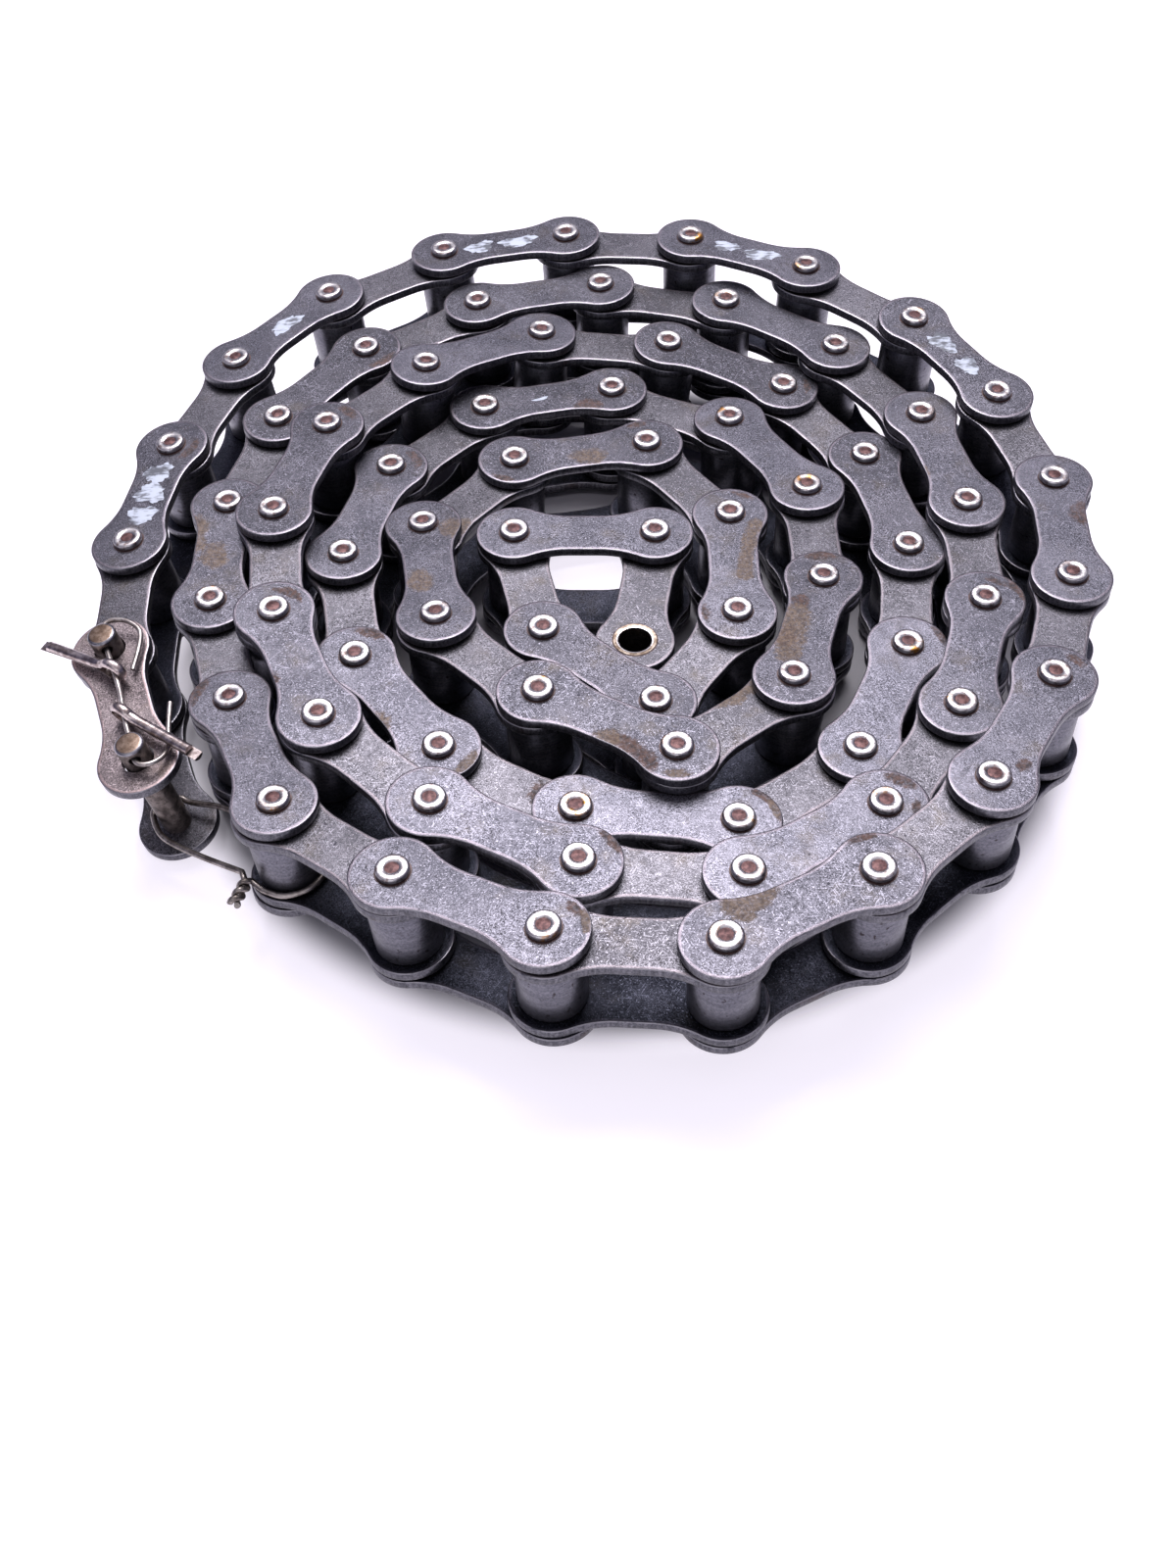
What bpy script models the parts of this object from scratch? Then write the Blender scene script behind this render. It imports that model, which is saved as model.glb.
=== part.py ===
"""Ten feet of steel roller chain, wound into a dished coil, laid on its side and tied with wire."""
import math

import bpy
import bmesh
from mathutils import Matrix, Vector

MM = 0.001

# Standard sizes of this chain, pitch 1.630 in
PITCH = 41.4 * MM
LINKS = 74
PLATE_END_RADIUS = 11.5 * MM
PLATE_THICK = 2.8 * MM
INNER_FACE = 10.1 * MM
OUTER_FACE = 13.7 * MM
ROLLER_RADIUS = 8.9 * MM
PIN_RADIUS = 4.0 * MM
BORE_RADIUS = 5.4 * MM
END_BORE_RADIUS = 4.7 * MM
HEAD_RADIUS = 4.4 * MM
HEAD_PROUD = 2.1 * MM

# Outline and round pieces
END_STEPS = 7
END_SWEEP = math.radians(280.0)
ROLLER_SIDES = 8
PIN_SIDES = 6
OVERLAP = 0.5 * MM
SMOOTH_BELOW = math.radians(62.0)

# The links up to this one are nodes of their own, and those after it go in pairs
LAST_SINGLE_LINK = 34

# The connecting link at the outer end, whose long pins stand proud of a loose cover plate
LONG_PIN_PROUD = 7.0 * MM
COVER_BORE_RADIUS = 4.8 * MM
CROSS_HOLE_RADIUS = 1.7 * MM
CROSS_HOLE_DROP = 3.2 * MM

# The coil as it lies, from its outer end inward: where the first pin's middle stands, which way the first
# link points, how many degrees the chain turns inward at each pin after it, one row a turn, and how high
# every third pin's middle is in millimetres above the lowest ones
START = Vector((-114.9, -70.3, 0.0)) * MM
START_HEADING = 108.5
BENDS = (
    (17, 12, 12, 20, 20, 20, 15, 20, 14, 19, 15, 19, 14, 14, 17, 15, 32, 22, 10),
    (29, 8, 15, 16, 22, 22, 21, 23, 22, 20, 23, 13, 16, 18, 24, 36, 21),
    (17, 24, 16, 23, 25, 20, 30, 28, 26, 23, 19, 17, 30, 41, 25),
    (23, 27, 25, 26, 36, 38, 34, 30, 17, 35, 68),
    (17, 35, 47, 41, 65, 36, 35, 97),
    (35, 104, 98),
)
HEIGHT_STEP = 3
HEIGHTS = (
    (1.0, 7.0, 15.0, 17.5, 12.0, 15.5, 13.5),
    (5.0, 5.0, 10.0, 7.0, 7.0, 9.0),
    (12.5, 10.5, 1.5, 0.0, 2.0),
    (3.5, 0.0, 4.5, 8.5),
    (2.0, 1.5, 1.5, 1.5),
)

# The first links lean outward, the connecting link the most
LEAN = math.radians(9.0)
LEANING_LINKS = 6

# The middle of the lowest pins above the floor, so that the lowest leaning head just meets it
REST_HEIGHT = OUTER_FACE + PLATE_THICK + HEAD_PROUD + 0.07 * MM

# The thin wire through both long pins, in the connecting link's own frame and in millimetres, from its end
# beside the far pin to its end past the near one
PIN_WIRE_RADIUS = 0.65 * MM
PIN_WIRE_ROUTE = (
    (29.3, -5.0, 18.2),
    (36.4, -8.6, 19.0),
    (41.0, -9.8, 20.0),
    (45.6, -7.0, 20.5),
    (47.8, -2.6, 20.5),
    (45.4, 0.0, 20.3),
    (37.4, 0.0, 20.3),
    (33.4, -0.2, 20.6),
    (29.6, -0.4, 20.6),
    (22.0, -0.6, 20.2),
    (12.9, -0.2, 20.5),
    (4.0, 0.0, 20.3),
    (-4.0, 0.0, 20.3),
    (-6.2, -2.9, 20.0),
    (-4.9, -6.3, 19.0),
    (-2.2, -8.3, 18.0),
    (1.2, -9.3, 17.55),
    (4.8, -9.9, 17.55),
    (13.2, -12.3, 18.0),
)

# Split pins that hang on it, in the same frame: where the middle of the eye and the tip lie
COTTER_RADIUS = 1.5 * MM
COTTER_EYE_LENGTH = 3.6 * MM
COTTER_EYE_HEIGHT = 2.9 * MM
COTTER_EYE_WIRE = 0.95 * MM
COTTER_SLIT = 0.4 * MM
COTTERS = {
    "cotter_pin_upper": ((29.6, -0.4, 20.8), (50.9, 17.3, 18.2)),
    "cotter_pin_lower": ((12.9, -0.2, 20.7), (-9.8, -16.0, 20.5)),
}

# The tie wire, in millimetres from the first pin's middle: round that pin and a roller of the wrap beside it,
# and the two ends twisted together
TIE_RADIUS = 0.75 * MM
TIE_ROUTE = (
    (24.1, -24.4, -4.0),
    (12.8, -16.4, -8.0),
    (3.4, -10.3, -9.4),
    (-1.2, -6.2, -9.6),
    (-3.8, -0.2, -9.3),
    (-3.2, 3.4, -9.2),
    (-0.4, 5.8, -9.1),
    (3.1, 5.8, -9.0),
    (6.2, 4.0, -8.8),
    (15.7, -0.4, -6.1),
    (24.2, -5.9, -4.6),
    (31.7, -10.6, -2.9),
    (40.7, -13.1, -1.3),
    (45.9, -17.5, -0.4),
    (47.5, -23.7, -0.2),
    (46.2, -29.0, -0.6),
    (42.3, -33.0, -1.3),
    (36.1, -34.0, -2.2),
    (30.6, -31.8, -2.3),
)
TWIST_ROOT = Vector((26.3, -28.2, -2.3)) * MM
TWIST_TIP = Vector((23.1, -35.2, -3.6)) * MM
TWIST_RADIUS = 1.05 * MM
TWIST_TURNS = 1.5
TWIST_STEPS = 12

DARK_STEEL = ((0.105, 0.110, 0.125), 0.42)
PALE_STEEL = ((0.30, 0.29, 0.30), 0.45)
BRIGHT_WIRE = ((0.36, 0.33, 0.29), 0.38)


def smooth(rows, place):
    """The smooth curve through all the rows' values, read at a place counted in values."""
    values = [value for row in rows for value in row]
    last = len(values) - 1
    first = min(int(place), last - 1)
    before, start = values[max(first - 1, 0)], values[first]
    end, after = values[first + 1], values[min(first + 2, last)]
    t = place - first
    bend = 2 * before - 5 * start + 4 * end - after
    twist = 3 * (start - end) + after - before
    return start + 0.5 * t * (end - before + t * (bend + t * twist))


def pin_height(pin):
    return smooth(HEIGHTS, pin / HEIGHT_STEP) * MM


def chain_axes():
    """The middle of every pin, one pitch apart, the outer end first."""
    bends = [bend for row in BENDS for bend in row]
    heading = START_HEADING
    axes = [START + Vector((0, 0, REST_HEIGHT + pin_height(0)))]
    for link in range(LINKS):
        if link:
            heading -= bends[link - 1]
        rise = pin_height(link + 1) - pin_height(link)
        run = math.sqrt(PITCH ** 2 - rise ** 2)
        angle = math.radians(heading)
        axes.append(axes[-1] + Vector((run * math.cos(angle), run * math.sin(angle), rise)))
    return axes


def link_frame(axes, link):
    """The frame of a link: X along it, Z upright but for its slope and its outward lean."""
    start, end = axes[link], axes[link + 1]
    along = (end - start).normalized()
    up = (Vector((0, 0, 1)) - along * along.z).normalized()
    lean = LEAN * max(0.0, 1 - link / LEANING_LINKS)
    up.rotate(Matrix.Rotation(-lean, 3, along))
    frame = Matrix((along, up.cross(along), up)).transposed().to_4x4()
    return Matrix.Translation(start) @ frame


def new_material(name, look):
    colour, roughness = look
    material = bpy.data.materials.new(name)
    material.use_nodes = True
    shader = material.node_tree.nodes["Principled BSDF"]
    shader.inputs["Base Color"].default_value = (*colour, 1.0)
    shader.inputs["Roughness"].default_value = roughness
    shader.inputs["Metallic"].default_value = 1.0
    return material


def new_object(name, mesh):
    obj = bpy.data.objects.new(name, mesh)
    bpy.context.scene.collection.objects.link(obj)
    return obj


def place_node(name, mesh, look, frame=None):
    """Puts a node in the scene with its own material, its round faces shaded smooth."""
    node = new_object(name, mesh.copy())
    node.data.shade_smooth()
    node.data.set_sharp_from_angle(angle=SMOOTH_BELOW)
    node.data.materials.clear()
    node.data.materials.append(new_material(name, look))
    if frame is not None:
        node.matrix_world = frame
    return node


def prism(outline, low, high):
    """A solid with an outline in X and Y, between two heights."""
    work = bmesh.new()
    face = work.faces.new([work.verts.new((x, y, low)) for x, y in outline])
    if face.normal.z > 0:
        face.normal_flip()
    raised = bmesh.ops.extrude_face_region(work, geom=[face])["geom"]
    top = [item for item in raised if isinstance(item, bmesh.types.BMVert)]
    bmesh.ops.translate(work, verts=top, vec=(0, 0, high - low))
    bmesh.ops.recalc_face_normals(work, faces=work.faces)
    mesh = bpy.data.meshes.new("prism")
    work.to_mesh(mesh)
    work.free()
    return mesh


def ring_outline(x, y, radius, sides):
    turn = 2 * math.pi / sides
    return [(x + radius * math.cos(turn * (i + 0.5)), y + radius * math.sin(turn * (i + 0.5))) for i in range(sides)]


def plate_outline():
    """The waisted outline of a plate: two round ends, one about each pin's axis, and straight flanks."""
    outline = []
    for middle_x, facing in ((0.0, math.pi), (PITCH, 0.0)):
        for step in range(END_STEPS):
            angle = facing + END_SWEEP * (step / (END_STEPS - 1) - 0.5)
            outline.append((middle_x + PLATE_END_RADIUS * math.cos(angle), PLATE_END_RADIUS * math.sin(angle)))
    return outline


def both_plates(face):
    outline = plate_outline()
    return [prism(outline, -face - PLATE_THICK, -face), prism(outline, face, face + PLATE_THICK)]


def combine(solids, cuts=()):
    """One closed mesh from solids that run into one another, less the cuts."""
    parts = [new_object("part", mesh) for mesh in (*solids, *cuts)]
    base = parts[0]
    for count, part in enumerate(parts[1:], start=1):
        joint = base.modifiers.new("joint", "BOOLEAN")
        joint.operation = "UNION" if count < len(solids) else "DIFFERENCE"
        joint.object = part
    bpy.context.view_layer.update()
    depsgraph = bpy.context.evaluated_depsgraph_get()
    mesh = bpy.data.meshes.new_from_object(base.evaluated_get(depsgraph))
    for part in parts:
        bpy.data.objects.remove(part)
    return mesh


def moved(mesh, frame):
    mesh = mesh.copy()
    mesh.transform(frame)
    return mesh


def post(x, radius, low, high, sides=PIN_SIDES):
    """An upright round solid on the link's centre line."""
    return prism(ring_outline(x, 0.0, radius, sides), low, high)


def roller_link_mesh(bores):
    """Two inner plates, their bushings and the rollers on them, bored at each x in bores."""
    plate_top = INNER_FACE + PLATE_THICK
    solids = both_plates(INNER_FACE)
    for x in (0.0, PITCH):
        reach = INNER_FACE + OVERLAP
        solids.append(post(x, ROLLER_RADIUS, -reach, reach, ROLLER_SIDES))
    solids = [solids[0], solids[2], solids[3], solids[1]]
    cuts = [post(x, radius, -plate_top - OVERLAP, plate_top + OVERLAP) for x, radius in bores.items()]
    return combine(solids, cuts)


def pin_link_mesh():
    """Two outer plates with two riveted pins."""
    plate_top = OUTER_FACE + PLATE_THICK
    low, high = both_plates(OUTER_FACE)
    inside = OUTER_FACE + OVERLAP
    solids = [low]
    solids += [post(x, PIN_RADIUS, -inside, inside) for x in (0.0, PITCH)]
    solids.append(high)
    for x in (0.0, PITCH):
        solids.append(post(x, HEAD_RADIUS, plate_top - OVERLAP, plate_top + HEAD_PROUD))
        solids.append(post(x, HEAD_RADIUS, -plate_top - HEAD_PROUD, -plate_top + OVERLAP))
    return combine(solids)


def cross_hole(x, height):
    """A cutter along the link through a long pin."""
    reach = PIN_RADIUS + OVERLAP * 2
    hole = prism(ring_outline(0.0, 0.0, CROSS_HOLE_RADIUS, PIN_SIDES), -reach, reach)
    return moved(hole, Matrix.Translation((x, 0, height)) @ Matrix.Rotation(math.pi / 2, 4, "Y"))


def connecting_pin_plate_mesh():
    """The plate under the connecting link with its two long cross-drilled pins."""
    plate_top = OUTER_FACE + PLATE_THICK
    pin_top = plate_top + LONG_PIN_PROUD
    solids = [both_plates(OUTER_FACE)[0]]
    cuts = []
    for x in (0.0, PITCH):
        solids.append(post(x, PIN_RADIUS, -plate_top + OVERLAP, pin_top))
        solids.append(post(x, HEAD_RADIUS, -plate_top - HEAD_PROUD, -plate_top + OVERLAP * 2))
        cuts.append(cross_hole(x, pin_top - CROSS_HOLE_DROP))
    return combine(solids, cuts)


def connecting_cover_mesh():
    plate_top = OUTER_FACE + PLATE_THICK
    cuts = [post(x, COVER_BORE_RADIUS, OUTER_FACE - OVERLAP, plate_top + OVERLAP) for x in (0.0, PITCH)]
    return combine([both_plates(OUTER_FACE)[1]], cuts)


def spread(route, per_span):
    """Points on the smooth curve through a route's own points."""
    axis_rows = [[[point[axis] for point in route]] for axis in range(3)]
    count = (len(route) - 1) * per_span
    return [Vector([smooth(rows, i / per_span) for rows in axis_rows]) for i in range(count + 1)]


def tube(points, radius, closed=False, sides=6):
    """A closed tube along points, its rings turned as little as can be."""
    work = bmesh.new()
    count = len(points)
    rings = []
    side = None
    for i, point in enumerate(points):
        after = points[(i + 1) % count] if closed else points[min(i + 1, count - 1)]
        before = points[i - 1] if closed else points[max(i - 1, 0)]
        along = (after - before).normalized()
        side = (side or Vector((0, 0, 1))) - along * along.dot(side or Vector((0, 0, 1)))
        side.normalize()
        across = along.cross(side)
        ring = []
        for k in range(sides):
            angle = 2 * math.pi * k / sides
            ring.append(work.verts.new(point + radius * (side * math.cos(angle) + across * math.sin(angle))))
        rings.append(ring)
    spans = list(zip(rings, rings[1:]))
    if closed:
        spans.append((rings[-1], rings[0]))
    else:
        work.faces.new(rings[0])
        work.faces.new(rings[-1])
    for ring, following in spans:
        for k in range(sides):
            work.faces.new((ring[k], ring[(k + 1) % sides], following[(k + 1) % sides], following[k]))
    bmesh.ops.recalc_face_normals(work, faces=work.faces)
    mesh = bpy.data.meshes.new("tube")
    work.to_mesh(mesh)
    work.free()
    return mesh


def pin_wire_mesh():
    route = [Vector(point) * MM for point in PIN_WIRE_ROUTE]
    return tube(spread(route, 2), PIN_WIRE_RADIUS)


def cotter_mesh(eye, tip):
    """A split pin: two legs, one over the other with a slit between them, and an eye that stands upright."""
    eye, tip = (Vector(point) * MM for point in (eye, tip))
    along = (tip - eye).normalized()
    up = (Vector((0, 0, 1)) - along * along.z).normalized()
    frame = Matrix((up, along.cross(up), along)).transposed().to_4x4()
    length = (tip - eye).length
    legs = prism(ring_outline(0.0, 0.0, COTTER_RADIUS, 8), COTTER_EYE_LENGTH, length)
    ring = []
    for step in range(10):
        angle = 2 * math.pi * (step + 0.5) / 10
        ring.append(Vector((COTTER_EYE_HEIGHT * math.sin(angle), 0, COTTER_EYE_LENGTH * math.cos(angle))))
    slit = [(-COTTER_SLIT / 2, -COTTER_RADIUS * 2), (COTTER_SLIT / 2, -COTTER_RADIUS * 2)]
    slit += [(COTTER_SLIT / 2, COTTER_RADIUS * 2), (-COTTER_SLIT / 2, COTTER_RADIUS * 2)]
    cut = prism(slit, COTTER_EYE_LENGTH + COTTER_EYE_WIRE * 2, length + OVERLAP)
    mesh = combine([legs, tube(ring, COTTER_EYE_WIRE, closed=True)], [cut])
    return moved(mesh, Matrix.Translation(eye) @ frame)


def twist_strand(root, tip, start_angle):
    """One of the two strands wound round one another, from the root of the twist to its tip."""
    along = (tip - root).normalized()
    side = Vector((0, 0, 1)).cross(along).normalized()
    up = along.cross(side)
    strand = []
    for step in range(TWIST_STEPS + 1):
        part = step / TWIST_STEPS
        angle = start_angle + 2 * math.pi * TWIST_TURNS * part
        strand.append(root.lerp(tip, part) + TWIST_RADIUS * (side * math.cos(angle) + up * math.sin(angle)))
    return strand


def tie_wire_mesh(axes):
    """A wire round the near long pin and a roller, its two ends twisted together."""
    root = axes[0] + TWIST_ROOT
    tip = axes[0] + TWIST_TIP
    route = [axes[0] + Vector(point) * MM for point in TIE_ROUTE]
    first = twist_strand(root, tip, math.pi)
    second = twist_strand(root, tip, 0.0)
    return tube(first[::-1] + spread(route, 2) + second, TIE_RADIUS)


def build_connecting_link(axes):
    frame = link_frame(axes, 0)
    place_node("connecting_pin_plate", connecting_pin_plate_mesh(), PALE_STEEL, frame)
    place_node("connecting_cover_plate", connecting_cover_mesh(), PALE_STEEL, frame)
    place_node("pin_wire", pin_wire_mesh(), BRIGHT_WIRE, frame)
    for name, (eye, tip) in COTTERS.items():
        place_node(name, cotter_mesh(eye, tip), BRIGHT_WIRE, frame)


def build_links(axes):
    """Every link between the connecting link and the inner end."""
    roller_link = roller_link_mesh({0.0: BORE_RADIUS, PITCH: BORE_RADIUS})
    roller_link_held = roller_link_mesh({0.0: BORE_RADIUS})
    pin_link = pin_link_mesh()
    for link in range(1, LAST_SINGLE_LINK + 1):
        frame = link_frame(axes, link)
        if link % 2:
            place_node(f"roller_link_{link:02d}", roller_link, DARK_STEEL, frame)
        else:
            place_node(f"pin_link_{link:02d}", pin_link, DARK_STEEL, frame)
    for link in range(LAST_SINGLE_LINK + 1, LINKS - 1, 2):
        first = link_frame(axes, link)
        second = link_frame(axes, link + 1)
        pair = combine([moved(roller_link_held, first), moved(pin_link, second)])
        place_node(f"link_pair_{link:02d}_{link + 1:02d}", pair, DARK_STEEL)
    end_link = roller_link_mesh({0.0: BORE_RADIUS, PITCH: END_BORE_RADIUS})
    place_node("inner_end_link", end_link, DARK_STEEL, link_frame(axes, LINKS - 1))


def main():
    for obj in list(bpy.data.objects):
        bpy.data.objects.remove(obj)
    axes = chain_axes()
    build_connecting_link(axes)
    build_links(axes)
    place_node("tie_wire", tie_wire_mesh(axes), BRIGHT_WIRE)


main()
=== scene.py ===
"""Dresses the coil of dark roller chain: waisted plates, turned rollers, riveted heads, wires and paint."""
import math

import bmesh
import bpy
from mathutils import Matrix, Vector


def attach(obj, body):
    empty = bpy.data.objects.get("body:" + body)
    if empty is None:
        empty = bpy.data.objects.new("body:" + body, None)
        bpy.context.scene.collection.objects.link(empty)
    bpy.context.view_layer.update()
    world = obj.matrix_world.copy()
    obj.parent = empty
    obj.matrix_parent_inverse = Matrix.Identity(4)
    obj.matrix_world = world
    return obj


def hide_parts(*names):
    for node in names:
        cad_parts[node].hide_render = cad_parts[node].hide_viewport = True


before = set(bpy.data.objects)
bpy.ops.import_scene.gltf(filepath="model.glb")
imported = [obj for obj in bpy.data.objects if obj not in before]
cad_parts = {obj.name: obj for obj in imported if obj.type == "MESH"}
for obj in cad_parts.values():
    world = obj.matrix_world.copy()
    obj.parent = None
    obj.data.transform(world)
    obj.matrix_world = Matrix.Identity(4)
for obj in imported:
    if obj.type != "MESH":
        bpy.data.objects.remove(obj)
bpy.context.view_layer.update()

MM = 0.001
PITCH = 41.4
LINKS = 74

# Section sizes, in millimetres
PLATE_END = 11.25
PLATE_WAIST = 7.4
WAIST_ARC = 25.0
INNER_FACE = 10.1
OUTER_FACE = 13.7
PLATE_THICK = 2.8
ROLLER_RADIUS = 8.85
ROLLER_FLAT = 8.3
ROLLER_GAP = 0.12
BUSHING_RADIUS = 6.3
BUSHING_BORE = 4.75
BUSHING_PROUD = 0.05
PIN_RADIUS = 4.0
HEAD_RADIUS = 4.3
HEAD_PROUD = 2.05
LONG_PIN_PROUD = 7.0
CROSS_HOLE_DROP = 3.2
CROSS_HOLE_RADIUS = 1.6
COVER_HOLE_RADIUS = 4.5
THIN_WIRE_RADIUS = 0.7
TIE_WIRE_RADIUS = 0.85
SPLIT_PIN_RADIUS = 1.5
SPLIT_PIN_DEPTH = 1.35

# Edges sharper than this many degrees aren't shaded smooth: on turned and stamped steel, on split pins, and
# on wire and paint
SHARP = 40.0
SHARP_ON_SPLIT_PIN = 50.0
SHARP_ON_WIRE = 60.0

# How the coil lies, in millimetres, on the same path as the CAD: where the first pin's middle would be if it
# lay as low as the lowest, which way the first link points, how many degrees the chain turns inward at each
# pin after it, one row a turn, and how high every third pin's middle is above the lowest ones
START = Vector((-114.9, -70.3, 18.67))
START_HEADING = 108.5
BENDS = (
    (17, 12, 12, 20, 20, 20, 15, 20, 14, 19, 15, 19, 14, 14, 17, 15, 32, 22, 10),
    (29, 8, 15, 16, 22, 22, 21, 23, 22, 20, 23, 13, 16, 18, 24, 36, 21),
    (17, 24, 16, 23, 25, 20, 30, 28, 26, 23, 19, 17, 30, 41, 25),
    (23, 27, 25, 26, 36, 38, 34, 30, 17, 35, 68),
    (17, 35, 47, 41, 65, 36, 35, 97),
    (35, 104, 98),
)
HEIGHT_STEP = 3
HEIGHTS = (
    (1.0, 7.0, 15.0, 17.5, 12.0, 15.5, 13.5),
    (5.0, 5.0, 10.0, 7.0, 7.0, 9.0),
    (12.5, 10.5, 1.5, 0.0, 2.0),
    (3.5, 0.0, 4.5, 8.5),
    (2.0, 1.5, 1.5, 1.5),
)

# The first link leans this many degrees, and the lean is gone after this many links
LEAN = 9.0
LEANING_LINKS = 6

# The links after this one share their CAD nodes in pairs, apart from the last of all
LAST_SINGLE_LINK = 34

# The thin wire through both long pins, in the connecting link's own frame
PIN_WIRE = (
    (29.3, -5.0, 18.2), (36.4, -8.6, 19.0), (41.0, -9.8, 20.0), (45.6, -7.0, 20.5), (47.8, -2.6, 20.5),
    (45.4, 0.0, 20.3), (37.4, 0.0, 20.3), (33.4, -0.2, 20.6), (29.6, -0.4, 20.6), (22.0, -0.6, 20.2),
    (12.9, -0.2, 20.5), (4.0, 0.0, 20.3), (-4.0, 0.0, 20.3), (-6.2, -2.9, 20.0), (-4.9, -6.3, 19.0),
    (-2.2, -8.3, 18.0), (1.2, -9.3, 17.55), (4.8, -9.9, 17.55), (13.2, -12.3, 18.0),
)
COTTERS = {
    "cotter_pin_upper": ((29.6, -0.4, 20.8), (50.9, 17.3, 18.2)),
    "cotter_pin_lower": ((12.9, -0.2, 20.7), (-9.8, -16.0, 20.5)),
}

# The tie wire, from the first pin's middle
TIE = (
    (24.1, -24.4, -4.0), (12.8, -16.4, -8.0), (3.4, -10.3, -9.4), (-1.2, -6.2, -9.6), (-3.8, -0.2, -9.3),
    (-3.2, 3.4, -9.2), (-0.4, 5.8, -9.1), (3.1, 5.8, -9.0), (6.2, 4.0, -8.8), (15.7, -0.4, -6.1),
    (24.2, -5.9, -4.6), (31.7, -10.6, -2.9), (40.7, -13.1, -1.3), (45.9, -17.5, -0.4), (47.5, -23.7, -0.2),
    (46.2, -29.0, -0.6), (42.3, -33.0, -1.3), (36.1, -34.0, -2.2), (30.6, -31.8, -2.3),
)
TWIST_ROOT = Vector((26.3, -28.2, -2.3))
TWIST_TIP = Vector((23.1, -35.2, -3.6))
TWIST_RADIUS = 1.05
TWIST_TURNS = 1.5

# Stains on the upper plates: link, place along it and across it from its first pin, reach, kind
STAINS = (
    (2, 40, -7, 4, "rust"), (12, 15, 6, 4, "rust"), (14, -8, 3, 3, "rust"), (14, 34, 5, 2, "rust"),
    (16, 29, -7, 4, "tan"), (16, 33, -7, 5, "tan"), (16, 34, -3, 2, "tan"), (16, -2, -10, 3, "rust"),
    (16, 18, -10, 2, "rust"), (18, -4, -8, 3, "rust"), (18, -8, -6, 3, "tan"), (20, 48, 7, 4, "rust"),
    (22, 19, 1, 5, "tan"), (22, 30, 9, 5, "tan"), (22, 24, 7, 3, "tan"), (24, 40, -9, 4, "rust"),
    (30, 26, -9, 3, "tan"), (32, -8, 2, 3, "rust"), (32, -7, 8, 4, "rust"), (34, -8, -4, 4, "rust"),
    (34, -6, 5, 2, "rust"), (34, 3, 11, 2, "rust"), (36, -5, -9, 4, "rust"), (38, 46, -6, 4, "rust"),
    (38, 18, 8, 3, "rust"), (40, 49, -4, 4, "rust"), (44, 48, 4, 3, "rust"), (48, -7, 7, 3, "rust"),
    (50, -6, -8, 3, "rust"), (50, -9, -4, 3, "tan"), (52, 46, -8, 4, "rust"), (52, 18, 8, 4, "tan"),
    (52, -9, -3, 4, "tan"), (54, 47, -6, 4, "rust"), (56, 32, -7, 4, "rust"), (60, 12, -4, 3, "rust"),
    (60, 17, -4, 4, "tan"), (60, 22, -3, 4, "tan"), (60, 27, -4, 5, "tan"), (60, 33, -3, 4, "tan"),
    (60, 21, -5, 3, "rust"), (60, 28, -5, 3, "rust"), (60, -9, -2, 4, "rust"), (66, 40, 9, 3, "rust"),
    (62, 18, 6, 4, "tan"), (62, 12, 6, 4, "rust"), (62, 6, 8, 4, "rust"), (62, -4, 8, 3, "tan"),
    (64, 15, 3, 4, "tan"), (64, 38, -8, 4, "tan"), (66, 22, -3, 5, "tan"), (66, -5, -8, 3, "rust"),
    (68, 6, 7, 3, "tan"), (68, 12, 5, 3, "tan"), (68, 19, 4, 3, "tan"), (68, 26, 3, 3, "tan"),
    (68, -8, 4, 3, "rust"), (68, 42, -9, 3, "rust"), (51, 9, -2, 5, "rust"), (61, 10, -8, 4, "tan"),
    (61, 17, -8, 5, "tan"), (65, 8, -5, 4, "tan"),
)

# Rubbed dabs of white paint: link, place along it and across it, length, width, turn in degrees
DABS = (
    (2, 29, 0.5, 7.5, 8.2, 14), (2, 20, -0.5, 8, 9.0, -10), (2, 11, 0, 7, 8.4, 8), (4, 22, 0, 11, 5.6, 8),
    (6, 12, 0, 9, 5.8, 6), (6, 25, 0, 12, 5.4, -5), (8, 13, 0, 8, 5.2, -6), (8, 25.5, 0, 11, 5.4, 7),
    (10, 14, 0, 10, 6.4, 4), (10, 26.5, 0, 8, 6.2, -8), (56, 18, 0, 5.0, 1.2, 5),
)

# Links lighter or darker than the rest, as a share
TINTS = {
    3: 0.1, 4: 0.2, 5: 0.25, 7: 0.3, 8: 0.2, 9: 0.35, 12: 0.3, 13: 0.3, 14: 0.2, 16: -0.2, 17: -0.25,
    22: -0.15, 24: -0.35, 34: 0.2, 38: -0.15, 40: -0.25, 42: 0.25, 44: -0.35, 46: -0.2, 48: 0.35, 50: 0.25,
    56: -0.25, 58: 0.25, 60: -0.15, 62: -0.25, 66: -0.25, 70: -0.3,
}

# Material slots of a chain link
PLATE, EDGE, SIDE, ROLLER, BUSHING, PIN, RING, CENTRE, RIM_STAIN_AND_SHADE, OILED_AND_SHADED = range(10)

# The photograph's viewpoint: place in millimetres, degrees down and round, lens for a 36 mm high sensor
CAMERA_PLACE = Vector((1.04, -366.65, 371.81))
CAMERA_PITCH = 50.022
CAMERA_ROLL = 1.720
CAMERA_LENS = 38.998


def smooth(values, place):
    """The smooth curve through the values, read at a place counted in values."""
    last = len(values) - 1
    first = min(int(place), last - 1)
    before, start = values[max(first - 1, 0)], values[first]
    end, after = values[first + 1], values[min(first + 2, last)]
    t = place - first
    bend = 2 * before - 5 * start + 4 * end - after
    twist = 3 * (start - end) + after - before
    return start + 0.5 * t * (end - before + t * (bend + t * twist))


def pin_height(pin):
    return smooth([height for row in HEIGHTS for height in row], pin / HEIGHT_STEP)


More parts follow.
